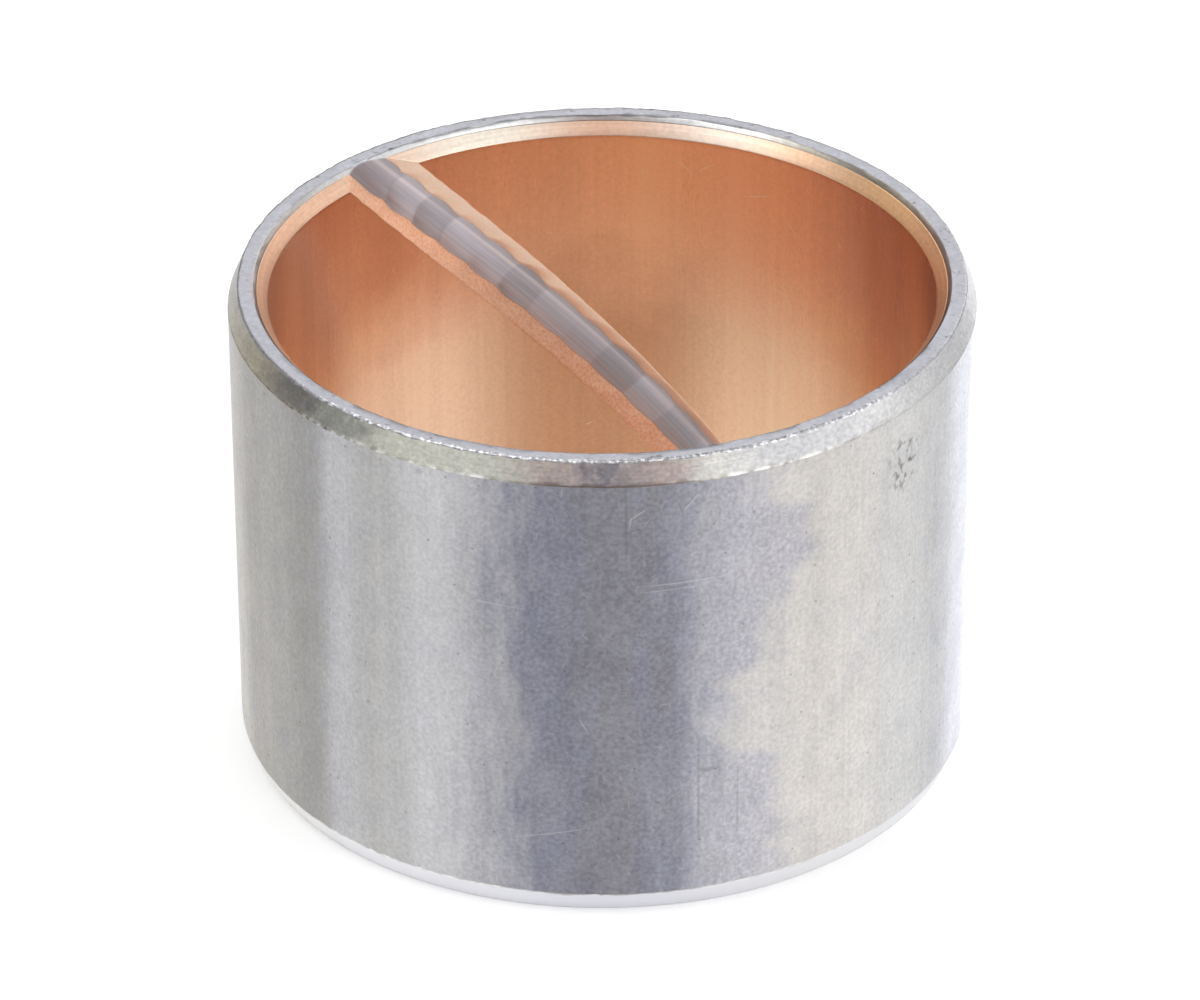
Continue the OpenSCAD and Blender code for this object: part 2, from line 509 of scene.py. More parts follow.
# Painted highlight: a near-white line painted along the edge, broken up and strongest at some angles
edge_highlight = {"Value": edge_gap, "From Min": 0.05, "From Max": 0.3, "To Min": 1.0, "To Max": 0.0}
edge_highlight = add(tree, "ShaderNodeMapRange", edge_highlight)
broken = grain(tree, point, (1.2, 1.2, 1.2), -0.6, 1.6, 3.0)
broken = add(tree, "ShaderNodeMath", {0: broken, 1: blend(tree, degrees, EDGE_HIGHLIGHT)}, operation="MULTIPLY")
colour = tinted(tree, colour, edge_highlight, linear("#fbfbf6"), broken)
roughness = grain(tree, point, (1.5, 1.5, 6.0), 0.34, 0.46)
metal(tree, colour, roughness, speckle, 0.008, anisotropy=0.7, rotation=UPRIGHT)

# %% [markdown]
# ## Faced and torn steel
# The end face was cut square on the lathe and then knocked about, so it is a plain dull grey with small
# nicks. Along its outer edge the last cut tore the metal into a fine burr. A burr glitters: its bits face
# every way. Here the glints are painted: bits are painted white beside others that stay grey, most of them
# toward the front.

# %% Faced and torn steel
# Faced: an even dull grey
faced_steel, tree = new_material("faced_steel")
point = places(tree, outer_r)[0]
speckle = grain(tree, point, (3.0, 3.0, 3.0), 0.88, 1.1, 4.0)
clouds = grain(tree, point, (0.4, 0.4, 0.4), 0.93, 1.06, 3.0)
colour = shaded(tree, linear("#a3a3aa"), speckle, clouds)
nicks = grain(tree, point, (1.1, 1.1, 1.1), -3.2, 1.0, 3.0)
colour = tinted(tree, colour, nicks, linear("#737074"))
metal(tree, colour, 0.42, speckle, 0.008)

# Torn: painted glints along the edge
torn_steel, tree = new_material("torn_steel")
point, degrees = places(tree, outer_r)[:2]
bits = grain(tree, point, (3.2, 3.2, 3.2), 0.0, 1.0, 2.0)
painted_glint_share = blend(tree, degrees, ((-180, 0.5), (-62, 0.3), (-46, 1.0), (42, 1.0), (62, 0.5), (180, 0.5)))
painted_glints = add(tree, "ShaderNodeMath", {0: bits, 1: painted_glint_share}, operation="MULTIPLY")
colour = blend(tree, painted_glints, ((0.0, "#908f93"), (0.5, "#b0b0b5"), (0.7, "#d8d8dc"), (1.0, "#ffffff")))
metal(tree, colour, 0.4, bits, 0.02)

# %% [markdown]
# ## Steel at the mouth
# The inner chamfer at each end cuts through the bronze and a little way into the steel, which leaves a
# thin bright ring of freshly turned steel. It is smoother than the outside, so it mirrors the lamps more
# sharply. Its colour round the ring also holds painted highlights and painted shade.

# %% Steel at the mouth
# Degrees from the back, and the colour there: painted highlights and painted shade round the ring
MOUTH_LIGHT_AND_SHADE = (
    (-120, "#8f8985"), (-80, "#8c827d"), (-40, "#c8c8c8"), (-20, "#ececec"), (0, "#8c8381"),
    (20, "#c4c4c4"), (40, "#aaa49a"), (60, "#a09688"), (80, "#a0887e"), (120, "#8f8985"),
)

# Turned smooth: a thin bright line round the bronze
mouth_steel, tree = new_material("mouth_steel")
point, degrees = places(tree, bore_r, BACK)[:2]
speckle = grain(tree, point, (2.5, 2.5, 2.5), 0.88, 1.1, 4.0)
colour = shaded(tree, blend(tree, degrees, MOUTH_LIGHT_AND_SHADE), speckle)
metal(tree, colour, 0.3, speckle, 0.006, anisotropy=0.3, rotation=UPRIGHT)

# %% [markdown]
# ## Milled steel
# The floor of the oil groove is bare steel. The tool ran along it, so its lines run along too and each
# highlight is drawn out across them. Every bite of the chattering tool left a facet of its own shade.
# A bright streak near one side is a painted highlight.

# %% Milled steel
# Distance across the groove in mm, and the colour there, with a painted highlight at -0.8
FLOOR_COLOURS_AND_HIGHLIGHT = (
    (-1.5, "#b9c2d0"), (-1.1, "#c4ccda"), (-0.8, "#dfe6f4"), (-0.5, "#c6cfdf"), (0.1, "#b7c0cf"),
    (0.8, "#bab9c1"), (1.5, "#bebabe"),
)
# Painted light: the upper end of the groove is painted lighter: mm along it, and the shade at each end
UPPER_LIGHT = {"From Max": 52.0, "To Min": 0.9, "To Max": 1.18}

# Milled: a streaked strip in a row of shades
milled_steel, tree = new_material("milled_steel")
across = add(tree, "ShaderNodeAttribute", attribute_name="across_groove").outputs["Fac"]
along = add(tree, "ShaderNodeAttribute", attribute_name="along_groove").outputs["Fac"]
tone = add(tree, "ShaderNodeAttribute", attribute_name="facet_tone").outputs["Fac"]
groove_place = add(tree, "ShaderNodeCombineXYZ", {0: across, 1: along})
lines = grain(tree, groove_place, (5.0, 0.1, 1.0), 0.86, 1.12, 3.0)
facets = add(tree, "ShaderNodeMapRange", {"Value": tone, "To Min": 0.84, "To Max": 1.08})
higher = add(tree, "ShaderNodeMapRange", {"Value": along, **UPPER_LIGHT})
colour = shaded(tree, blend(tree, across, FLOOR_COLOURS_AND_HIGHLIGHT), lines, facets, higher)
metal(tree, colour, 0.45, lines, 0.01, anisotropy=0.8, rotation=UPRIGHT)

# %% [markdown]
# ## Bored bronze
# The bore was finished with a fine boring tool and then honed up and down, so it carries soft streaks
# along the axis. It is smooth enough to mirror the paper that the bushing stands on, which gives two pale
# pools low in the bore. These pools, and the light and shade higher up, are also painted into its colour.

# %% Bored bronze
# Degrees from the back, height, half length, half width, lean in degrees
BORE_SCRATCHES = (
    (15, 34.8, 1.2, 0.06, -35), (19, 35.0, 0.9, 0.06, 30), (29, 33.4, 1.6, 0.06, 15),
    (36, 31.5, 1.0, 0.06, -50),
)

# Degrees from the back, and the colour there: bronze with painted light and shade, pale pools where the
# lit paper shows in it and browner between them
LOWER_BORE_LIGHT = (
    (-180, "#eec4a4"), (-65, "#f4cfb2"), (-32, "#ffe3c7"), (-8, "#d3a683"), (6, "#d3a683"),
    (29, "#ffe1bf"), (60, "#f2c8a6"), (180, "#eec4a4"),
)
UPPER_BORE_LIGHT = (
    (-180, "#eabd9f"), (-70, "#f8ccb4"), (-48, "#dcb09a"), (-12, "#f1c4a3"), (10, "#ffd3ae"),
    (28, "#fdceae"), (55, "#e0b3a2"), (75, "#ecc0b1"), (180, "#eabd9f"),
)

# The painted light and shade go over from the lower to the upper colours between these heights in mm
BORE_LIGHT_Z = (20.0, 29.0)

# Bored: a soft mirror, streaked along the axis, with painted light and shade in its colour
bored_bronze, tree = new_material("bored_bronze")
point, degrees, height, unrolled = places(tree, bore_r, BACK)
streaks = grain(tree, point, (1.8, 1.8, 0.02), 0.965, 1.03, 3.0)
bands = grain(tree, point, (0.22, 0.22, 0.012), 0.94, 1.05, 2.0)
speckle = grain(tree, point, (3.5, 3.5, 3.5), 0.94, 1.06, 4.0)
uneven = grain(tree, point, (0.2, 0.2, 0.2), -2.0, 2.0, 3.0)
level = add(tree, "ShaderNodeMath", {0: height, 1: uneven})
ends = {"Value": level, "From Min": BORE_LIGHT_Z[0], "From Max": BORE_LIGHT_Z[1]}
upper = add(tree, "ShaderNodeMapRange", ends)
colour = tinted(tree, blend(tree, degrees, LOWER_BORE_LIGHT), upper, blend(tree, degrees, UPPER_BORE_LIGHT))
colour = shaded(tree, colour, streaks, bands, speckle)
flecks = scratches(tree, unrolled, 3.5, 0.07, 0.3, 0.3)
colour = tinted(tree, colour, flecks, linear("#ffe6d2"), 0.5)
for scratch in BORE_SCRATCHES:
    colour = tinted(tree, colour, mark(tree, unrolled, bore_r, *scratch), linear("#fff0e0"), 0.7)
roughness = grain(tree, point, (0.5, 0.5, 0.03), 0.26, 0.3)
metal(tree, colour, roughness, speckle, 0.0005, anisotropy=0.3, rotation=UPRIGHT)

# %% [markdown]
# ## Turned bronze
# The bronze in the mouth chamfer was turned and left as it was, so it is paler and duller than the bore,
# with fine lines round it. The same helper draws them as on the steel chamfer. Its colour round the ring
# also holds painted highlights.

# %% Turned bronze
# Degrees from the back, and the colour there, with near-white painted highlights to either side of the
# back
BRONZE_MOUTH_AND_HIGHLIGHTS = (
    (-120, "#e7bea1"), (-80, "#dbaf92"), (-50, "#d4af97"), (-20, "#e7ddcf"), (0, "#d6af98"),
    (20, "#e7d3c4"), (40, "#eec6a5"), (60, "#ffcb98"), (80, "#fec194"), (120, "#e7bea1"),
)

# Turned: a pale matt ring
turned_bronze, tree = new_material("turned_bronze")
point, degrees, height = places(tree, bore_r, BACK)[:3]
turning = turning_lines(tree, degrees, height, 6.0, 0.9, 1.06, 2.0)
speckle = grain(tree, point, (3.0, 3.0, 3.0), 0.9, 1.08, 4.0)
colour = shaded(tree, blend(tree, degrees, BRONZE_MOUTH_AND_HIGHLIGHTS), turning, speckle)
metal(tree, colour, 0.38, turning, 0.005, anisotropy=0.4, rotation=UPRIGHT)

# %% [markdown]
# ## Milled bronze
# The groove's slopes were milled. On the upper one the tool cut cleanly, and its pale, nearly white colour
# is painted light: it stands in for the lamps that slope catches. On the lower one it tore the soft bronze
# into a fine light speckle. One function makes both, because only the values differ.

# %% Milled bronze
def milled_bronze(name, dark, light, roughness, anisotropy, rotation, relief_mm):
    """Bronze as a milling tool leaves it, speckled between two colours."""
    material, tree = new_material(name)
    point = places(tree, bore_r, BACK)[0]
    speckle = grain(tree, point, (5.0, 5.0, 5.0), 0.0, 1.0, 2.0)
    colour = tinted(tree, linear(dark), speckle, linear(light))
    metal(tree, colour, roughness, speckle, relief_mm, anisotropy, rotation)
    return material


# The clean cut is painted pale as painted light, and the torn one only glimmers
clean_cut_painted_light_bronze = milled_bronze("milled_bronze_clean_cut_painted_light", "#ffe4cc", "#fff4e6", 0.28, 0.0, 0.0, 0.003)
sloping = UPRIGHT + 0.13
torn_cut_bronze = milled_bronze("milled_bronze_torn_cut", "#eeb792", "#ffdac0", 0.5, 0.7, sloping, 0.002)

# %% [markdown]
# ## The groove as a formula
# The groove was cut with a round-nosed tool that chattered: it dug in and let go every few millimetres,
# so the floor is a row of shallow facets, and the line where bronze gives way to steel wanders. Both
# pieces use the same functions, so the bronze ends where the steel floor begins.

# %% Describe the groove
GROOVE_W = 5.1
GROOVE_BITE = 0.26
GROOVE_START = math.radians(53.5)
GROOVE_TURN = math.radians(82)

groove_depth = lining_t + GROOVE_BITE
nose_r = ((GROOVE_W / 2) ** 2 + groove_depth**2) / (2 * groove_depth)
groove_slope = math.atan(bore_r * GROOVE_TURN / length)
groove_run = length / math.cos(groove_slope)


def groove_angle(z):
    """Where the middle of the groove is, round from +X, at a height."""
    return GROOVE_START + GROOVE_TURN * z / length


def angle_across(across):
    """A distance square to the groove, as an angle round the bore."""
    return across / math.cos(groove_slope) / bore_r


def mouth_height(radius):
    """How far from an end face the mouth chamfer is at a radius."""
    return mouth_l * (mouth_r - radius) / mouth_t


def wander(position, spacing, period, seed):
    """A smooth random line from -1 to 1 with a knot about every spacing, that repeats after period."""
    knots = max(4, round(period / spacing))
    heights = np.random.default_rng(seed).uniform(-1, 1, knots)
    place = np.mod(position / period, 1) * knots
    step = np.floor(place).astype(int)
    share = place - step
    share = share * share * (3 - 2 * share)
    return heights[step % knots] * (1 - share) + heights[(step + 1) % knots] * share


print(f"groove at {math.degrees(groove_slope):.1f} degrees, {groove_run:.1f} long, nose {nose_r:.2f}")

# %% [markdown]
# ## Chatter
# Each facet gets its own depth and shade from a seeded dice, so the scene comes out the same every
# time. A facet is a shallow bowl: the floor sinks, comes up again, and meets the next facet in a low
# ridge. Where the floor is deeper the bare steel is wider too, and that gives the scalloped edges.

# %% Facets left by the chattering tool
CHATTER_PITCH = 3.6
CHATTER_DEPTH = 0.1
CHATTER_LOW_SHARE = 0.5
CALM_END_MM = 2.5
FACET_DEPTHS = (0.6, 1.0)
# How much the facets' lengths differ, and how far their ridges stand over the plain floor, as shares
PITCH_WAVER = 0.12
RIDGE_SHARE = 0.5
FINE_STEPS = 4000

facet_count = math.ceil(groove_run / CHATTER_PITCH) + 2
dice = np.random.default_rng(5)
facet_depth = dice.uniform(*FACET_DEPTHS, facet_count)
facet_tone = dice.uniform(0, 1, facet_count)


def calm(z):
    """A factor that goes from 0 at either end of the groove to 1 a little way in."""
    share = np.clip(np.minimum(z, length - z) / CALM_END_MM, 0, 1)
    return share * share * (3 - 2 * share)


def facet_phase(along):
    """How many facets lie before a distance along the groove."""
    return along / CHATTER_PITCH + 0.5 + PITCH_WAVER * wander(along, CHATTER_PITCH, groove_run, 3)


def facet_number(along):
    """The number of the facet at a distance along the groove."""
    return np.clip(np.floor(facet_phase(along)).astype(int), 0, facet_count - 1)


def depth_of_floor(along):
    """Depth of the groove's floor below the bore. The tool chattered most near the upper end."""
    bowl = facet_depth[facet_number(along)] * np.sin(math.pi * (facet_phase(along) % 1)) - RIDGE_SHARE
    strength = CHATTER_LOW_SHARE + (1 - CHATTER_LOW_SHARE) * np.clip(along / groove_run, 0, 1)
    strength = strength * calm(along * math.cos(groove_slope))
    return groove_depth + CHATTER_DEPTH * strength * bowl


def half_width_at(depth, along):
    """Half of the groove's width, square to its run, where it is that deep."""
    left = nose_r - (depth_of_floor(along) - depth)
    return np.sqrt(nose_r**2 - left**2)


EDGE_W = float(half_width_at(lining_t, 0.0))
floor_widths = 2 * half_width_at(lining_t, np.linspace(0, groove_run, FINE_STEPS))
print(f"bare steel in the groove is {floor_widths.min():.2f} to {floor_widths.max():.2f} mm wide")

# %% [markdown]
# ## A skin from a turned profile
# Each layer is a closed profile swept round the axis, like a shape on a lathe, so a grid of points is
# the natural mesh: one column for each step round, one row for each point of the profile. The columns
# lean with the groove, which keeps its edges as clean edge loops. A modifier would cut the groove more
# simply, but it would leave ragged triangles there.

# %% Build a mesh from a grid of points
# A rounding takes at most this share of a side
MOST_OF_SIDE = 0.45
TINY = 1e-9


def fillet(before, corner, after, radius):
    """Three points that round a corner of the profile, for every column at once."""
    ends = []
    for neighbour in (before, after):
        side = neighbour - corner
        span = np.linalg.norm(side, axis=-1, keepdims=True)
        reach = np.minimum(radius, MOST_OF_SIDE * span)
        ends.append(corner + side / np.maximum(span, TINY) * reach)
    return [ends[0], (ends[0] + 2 * corner + ends[1]) / 4, ends[1]]


def between(start, end, count):
    """Points that divide the straight line from start to end, without its ends."""
    return [start + (end - start) * step / (count + 1) for step in range(1, count + 1)]


def round_axis(radius, angle, z):
    """Points from cylinder coordinates."""
    return np.stack([radius * np.cos(angle), radius * np.sin(angle), z], -1)


def grid_mesh(name, points, closed_columns, face_materials, materials, attributes):
    """A smooth mesh from points[column, row], whose rows always close on themselves."""
    columns, rows = points.shape[:2]
    last = columns if closed_columns else columns - 1
    column, row = np.meshgrid(np.arange(last), np.arange(rows), indexing="ij")
    next_column = (column + 1) % columns
    next_row = (row + 1) % rows
    around = ((column, row), (column, next_row), (next_column, next_row), (next_column, row))
    faces = np.stack([c * rows + r for c, r in around], -1).reshape(-1, 4)
    mesh = bpy.data.meshes.new(name)
    mesh.from_pydata((points.reshape(-1, 3) * MM).tolist(), [], faces.tolist())
    for material in materials:
        mesh.materials.append(material)
    mesh.polygons.foreach_set("material_index", np.asarray(face_materials).ravel())
    mesh.polygons.foreach_set("use_smooth", np.ones(len(faces), bool))
    for label, values in attributes.items():
        layer = mesh.attributes.new(label, "FLOAT", "POINT")
        layer.data.foreach_set("value", values.astype(np.float32).ravel())
    mesh.update()
    piece = bpy.data.objects.new(name, mesh)
    bpy.context.scene.collection.objects.link(piece)
    print(f"{name}: {columns} columns by {rows} rows, {2 * len(faces)} triangles")
    return piece


print("helpers ready: fillet, between, round_axis and grid_mesh")

# %% [markdown]
# ## Steel shell, inside
# The shell's inner face is the groove's floor and, behind the bronze, the bond. On the floor the rows
# of the grid lie square to the groove and gather at the ridges between the facets, so a few rows are
# enough to keep them crisp.

# %% Inner face of the steel shell
FLOOR_COLUMNS = 28
SHELL_BACK_STEP = math.radians(0.48)
FACET_ROWS = (0.0, 0.07, 0.3, 0.65, 0.93)
ROW_GAP_MM = 0.2
BURR_H = 0.05

back_count = round((TURN - 2 * angle_across(EDGE_W)) / SHELL_BACK_STEP)
floor_share = np.linspace(-1, 1, FLOOR_COLUMNS + 1)
back_share = np.linspace(0, 1, back_count + 1)[1:-1]
column_share = np.concatenate([floor_share, back_share])
columns = len(column_share)
on_floor = np.arange(columns) <= FLOOR_COLUMNS
top = length - BURR_H

steps = np.linspace(0, groove_run, FINE_STEPS)
phases = facet_phase(steps)
wanted = np.add.outer(np.arange(facet_count), FACET_ROWS).ravel()
inner_rows = np.interp(wanted, phases, steps)
inner_rows = inner_rows[(inner_rows > ROW_GAP_MM) & (inner_rows < groove_run - ROW_GAP_MM)]
row_along = np.concatenate([[0], inner_rows, [groove_run]])
row_edge = half_width_at(lining_t, row_along)


def column_angle(edge):
    """Angle of every column from the groove's middle, where its floor reaches that far to each side."""
    share = column_share[:, None]
    edge_angle = angle_across(edge)
    behind = edge_angle + share * (TURN - 2 * edge_angle)
    return np.where(on_floor[:, None], share * edge_angle, behind)


wall_across = np.where(on_floor, column_share, 1)[:, None] * row_edge
floor_r = bore_r + depth_of_floor(row_along) - nose_r + np.sqrt(nose_r**2 - wall_across**2)
wall_r = np.where(on_floor[:, None], floor_r, bond_r)
low_end = mouth_height(wall_r[:, :1])
high_end = top - mouth_height(wall_r[:, -1:])
row_share = row_along / groove_run
sideways = np.where(on_floor, column_share, 1 - 2 * column_share)[:, None]
lean = sideways * EDGE_W * math.sin(groove_slope)
wall_z = low_end + (high_end - low_end) * row_share - lean * calm(row_share * length)
wall_angle = groove_angle(wall_z) + column_angle(row_edge)
wall_rows = len(row_along)
print(f"{wall_rows} rows on the inner face, {columns} columns")

# %% [markdown]
# ## Steel shell, outside
# From the inner face the profile goes on over the mouth, the end face, the chamfer and the outside to
# the other end. Every corner gets a small rounding, because a perfectly sharp edge never catches the
# light. A bevel modifier could round them too, but here each rounding is three rows of the grid, so
# that the burr can move them one by one.

# %% Profile of the steel shell
OUTSIDE_ROWS = 22
EDGE_R = 0.09
# Corners that are not rounded get one more row close by, so that shading does not smear over them
SUPPORT = 0.06
MOUTH, FACED, TURNED, GROUND, MILLED, TORN = range(6)


def ring(radius, z):
    """The same profile point for every column."""
    return np.tile([radius, z], (columns, 1)).astype(float)


profile = [np.stack([wall_r[:, k], wall_z[:, k]], -1) for k in range(wall_rows)]
row_zone = [MILLED] * (wall_rows - 1)
first, last = profile[0], profile[-1]
corners = [
    last,
    ring(mouth_r, top),
    ring(land_r, top),
    ring(outer_r, length - lead_l),
    ring(outer_r, lead_l),
    ring(land_r, 0),
    ring(mouth_r, 0),
    first,
]
# Zone and number of rows between two corners
end_zones = [(MOUTH, 1), (FACED, 1), (TURNED, 2)]
segments = end_zones + [(GROUND, OUTSIDE_ROWS)] + end_zones[::-1]
leaving = last
corner_rows = {}
for index, (zone, inner_count) in enumerate(segments):
    ends_here = index + 1 == len(segments)
    arriving = [first] if ends_here else fillet(*corners[index : index + 3], EDGE_R)
    inner = between(leaving, arriving[0], inner_count)
    if index == 0:
        inner = [leaving + SUPPORT * (arriving[0] - leaving)] + inner
    if ends_here:
        inner = inner + [first + SUPPORT * (leaving - first)]
    profile += inner
    row_zone += [zone] * (len(inner) + 1)
    if not ends_here:
        corner_rows[index + 1] = len(profile)
        profile += arriving
        row_zone += [zone, segments[index + 1][0]]
        leaving = arriving[-1]
profile = np.stack(profile, 1)
print(f"profile of {profile.shape[1]} points, corners at rows {list(corner_rows.values())}")

# %% [markdown]
# The burr and the wavering edges are real geometry, a few hundredths of a millimetre high: bump alone
# would leave the edge a perfect line. Several random lines of different spacing are added up, so that
# no pattern can be seen.

# %% Burr of the steel shell
# Spacing in mm and share of each random line that makes up the burr's height
BURR_LINES = ((0.4, 0.5), (1.3, 0.35), (7, 0.35))
BURR_MEAN = 0.25
BURR_OUT = 0.05
INNER_EDGE_IN = 0.05
# Spacing and depth in mm of the chips below the burr
CHIPS = ((0.5, 0.05), (1.5, 0.04))
EDGE_WAVER = 0.025


def edge_noise(spacing, seed, row):
    """Unevenness along one edge of the shell, as a value from -1 to 1 for every column."""
    place = (groove_angle(profile[:, row, 1]) + column_angle(EDGE_W)[:, 0]) * land_r
    return wander(place, spacing, TURN * land_r, seed)


row = corner_rows[2]
burr = BURR_MEAN
for seed, (spacing, share) in enumerate(BURR_LINES, start=11):
    burr = burr + share * edge_noise(spacing, seed, row)
burr = np.clip(burr, 0, 1)
profile[:, row, 0] -= INNER_EDGE_IN + INNER_EDGE_IN * edge_noise(0.8, 14, row)
profile[:, row + 1] += np.stack([BURR_OUT * burr, BURR_H * burr], -1)
chip = 0
for seed, (spacing, depth) in enumerate(CHIPS, start=15):
    chip = chip + depth * (1 + edge_noise(spacing, seed, row))
down_chamfer = np.array([outer_r - land_r, -lead_l]) / math.hypot(outer_r - land_r, lead_l)
profile[:, row + 2] += chip[:, None] * down_chamfer
row_zone[row] = TORN
row_zone[row + 1] = TORN

# The other upper edges only waver a little
for corner, seed in ((1, 21), (3, 31)):
    for row in range(corner_rows[corner], corner_rows[corner] + 3):
        waver = edge_noise(0.7, seed + row, row) + edge_noise(2.5, seed + row + 3, row) - 1
        profile[:, row, 1] += EDGE_WAVER * waver
print(f"burr up to {BURR_H * burr.max():.3f} mm high")

# %% [markdown]
# The finished grid becomes one mesh, with a material for each stretch of the profile. Three values ride
# along with the points of the groove, so that the milled steel can draw lines along it and shade its
# facets. Image textures could do the same, but they would need a file and an unwrapping.

# %% Mesh of the steel shell
angle = groove_angle(profile[:, :, 1]) + column_angle(EDGE_W)
angle[:, :wall_rows] = wall_angle
row_tone = facet_tone[facet_number(row_along + ROW_GAP_MM / 2)]
groove_values = {"across_groove": wall_across, "along_groove": row_along, "facet_tone": row_tone}
for label, values in groove_values.items():
    groove_values[label] = np.zeros(angle.shape)
    groove_values[label][:, :wall_rows] = values
shell = grid_mesh(
    "steel_shell_skin",
    round_axis(profile[:, :, 0], angle, profile[:, :, 1]),
    True,
    np.tile(row_zone, (columns, 1)),
    [mouth_steel, faced_steel, turned_steel, ground_steel, milled_steel, torn_steel],
    groove_values,
)

# %% [markdown]
# ## Bronze lining
# The lining is a strip bent almost into a ring: it starts at one slope of the groove, runs round the
# bore, and ends at the other slope. Its lower edges follow the facets of the floor, and its lips at the
# bore stay nearly straight, as the tool's full width cut them.

# %% Inner face of the bronze lining
SLOPE_COLUMNS = 10
LINING_STEP = math.radians(0.75)
LIP_STEPS_MM = np.array([0.05, 0.15, 0.3])
LIP_WAVER = 0.04
LIP_SPACING = 0.9
# How much the slope bulges over the straight line from its edge to its lip
SLOPE_BULGE = -0.15
# How far the foot of the slope drops into the steel, so that no gap can open at a facet
DROP = 0.04

bore_turn = TURN - 2 * angle_across(GROOVE_W / 2)
# Below 0 the foot drops, and one more column close by keeps the shading off that corner
slope_share = np.concatenate([[-1, 0, SUPPORT], np.linspace(0, 1, SLOPE_COLUMNS)[1:]])
lip_steps = LIP_STEPS_MM / bore_r / bore_turn
middle_steps = np.linspace(0, 1, round(bore_turn / LINING_STEP) + 1)[1:-1]
middle_steps = middle_steps[np.abs(middle_steps - 0.5) < 0.5 - 2 * lip_steps[-1]]
bore_share = np.concatenate([lip_steps, middle_steps, 1 - lip_steps[::-1]])
slope_ones = np.ones(len(slope_share))
slope_side = np.concatenate([slope_ones, np.zeros(len(bore_share)), -slope_ones])
lining_share = np.concatenate([slope_share, bore_share, slope_share[::-1]])
lining_columns = len(lining_share)


def slope_edges(z, side):
    """Distance of the lower edge and of the lip of one slope from the groove's middle, at a height."""
    along = z / math.cos(groove_slope) + side * EDGE_W * math.tan(groove_slope) * calm(z)
    lip = GROOVE_W / 2 + LIP_WAVER * calm(z) * wander(along, LIP_SPACING, groove_run, 40 + side)
    return half_width_at(lining_t, along), lip


def lining_inside(z, least=-1.0):
    """Angle and radius of every column's inner face at its heights. Slopes start at the least share."""
    side = slope_side[:, None]
    share = np.where(side == 0, lining_share[:, None], np.maximum(lining_share[:, None], least))
    edge_low, lip_low = slope_edges(z, 1)
    edge_high, lip_high = slope_edges(z, -1)
    rise = np.maximum(share, 0)
    low = angle_across(edge_low + rise * (lip_low - edge_low))
    high = TURN - angle_across(edge_high + rise * (lip_high - edge_high))
    middle_start = angle_across(lip_low)
    middle = middle_start + share * (TURN - angle_across(lip_high) - middle_start)
    angle = np.where(side == 0, middle, np.where(side > 0, low, high))
    depth = lining_t * (1 - rise) * (1 + SLOPE_BULGE * rise) + DROP * (share < 0)
    radius = bore_r + np.where(side == 0, 0, depth)
    return groove_angle(z) + angle, np.broadcast_to(radius, angle.shape)


print(f"lining of {lining_columns} columns, {SLOPE_COLUMNS} on each slope")

# %% [markdown]
# The lining's profile is simple: up the bore, over the mouth chamfer to the bond, and down the hidden
# back. The rows are close enough together to follow the scallops of the slopes.

# %% Mesh of the bronze lining
LINING_WALL_ROWS = 110
LINING_BACK_ROWS = 16
LINING_EDGE_R = 0.06
# The hidden back stops short of the groove by this share of a slope, so that it never shows there
BACK_SHARE = 0.45
BORED, TURNED_MOUTH, TORN_SLOPE, CLEAN_SLOPE = range(4)

everywhere = np.ones((lining_columns, 1))
low_end = mouth_height(lining_inside(0 * everywhere)[1])
high_end = top - mouth_height(lining_inside(length * everywhere)[1])
wall_z = low_end + (high_end - low_end) * np.linspace(0, 1, LINING_WALL_ROWS + 1)
wall_r = lining_inside(wall_z)[1]
wall = [np.stack([wall_r[:, k], wall_z[:, k]], -1) for k in range(LINING_WALL_ROWS + 1)]
bond_top = np.tile([bond_r, top - mouth_height(bond_r)], (lining_columns, 1))
bond_low = np.tile([bond_r, mouth_height(bond_r)], (lining_columns, 1))
top_edge = fillet(wall[-2], wall[-1], bond_top, LINING_EDGE_R)
low_edge = fillet(bond_low, wall[0], wall[1], LINING_EDGE_R)

profile = low_edge[1:] + wall[1:-1] + top_edge
row_zone = [BORED] * (len(profile) - 2)
profile += between(top_edge[-1], bond_top, 1)
profile += [bond_top + SUPPORT * (top_edge[-1] - bond_top), bond_top]
back_start = len(profile)
profile += between(bond_top, bond_low, LINING_BACK_ROWS) + [bond_low]
profile += [bond_low + SUPPORT * (low_edge[0] - bond_low)]
profile += between(bond_low, low_edge[0], 1) + [low_edge[0]]
row_zone += [TURNED_MOUTH] * (len(profile) - len(row_zone))
profile = np.stack(profile, 1)

face_zone = np.tile(row_zone, (lining_columns - 1, 1))
for side, zone in ((1, TORN_SLOPE), (-1, CLEAN_SLOPE)):
    on_slope = (slope_side[:-1] == side) & (slope_side[1:] == side)
    face_zone[on_slope[:, None] & (face_zone == BORED)] = zone
least = -np.ones(profile.shape[1])
least[back_start : back_start + LINING_BACK_ROWS] = BACK_SHARE
angle = lining_inside(profile[:, :, 1], least)[0]
lining = grid_mesh(
    "bronze_lining_skin",
    round_axis(profile[:, :, 0], angle, profile[:, :, 1]),
    False,
    face_zone,
    [bored_bronze, turned_bronze, torn_cut_bronze, clean_cut_painted_light_bronze],
    {},
)

# %% [markdown]
# ## On to the frame
# Each skin takes the place of one solid and rides on the one body that the bushing has. The modifier
# evens out the shading: wide faces pull the normals of the narrow roundings beside them, so flats stay
# flat and edges stay crisp.

# %% Set the pieces on the frame
for piece, node, slot in ((shell, "steel_shell", "steel"), (lining, "bronze_lining", "bronze")):
    modifier = piece.modifiers.new("even_shading", "WEIGHTED_NORMAL")
    modifier.keep_sharp = True
    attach(piece, "root")
    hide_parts(node)
    print(piece.name, "takes the place of", node)

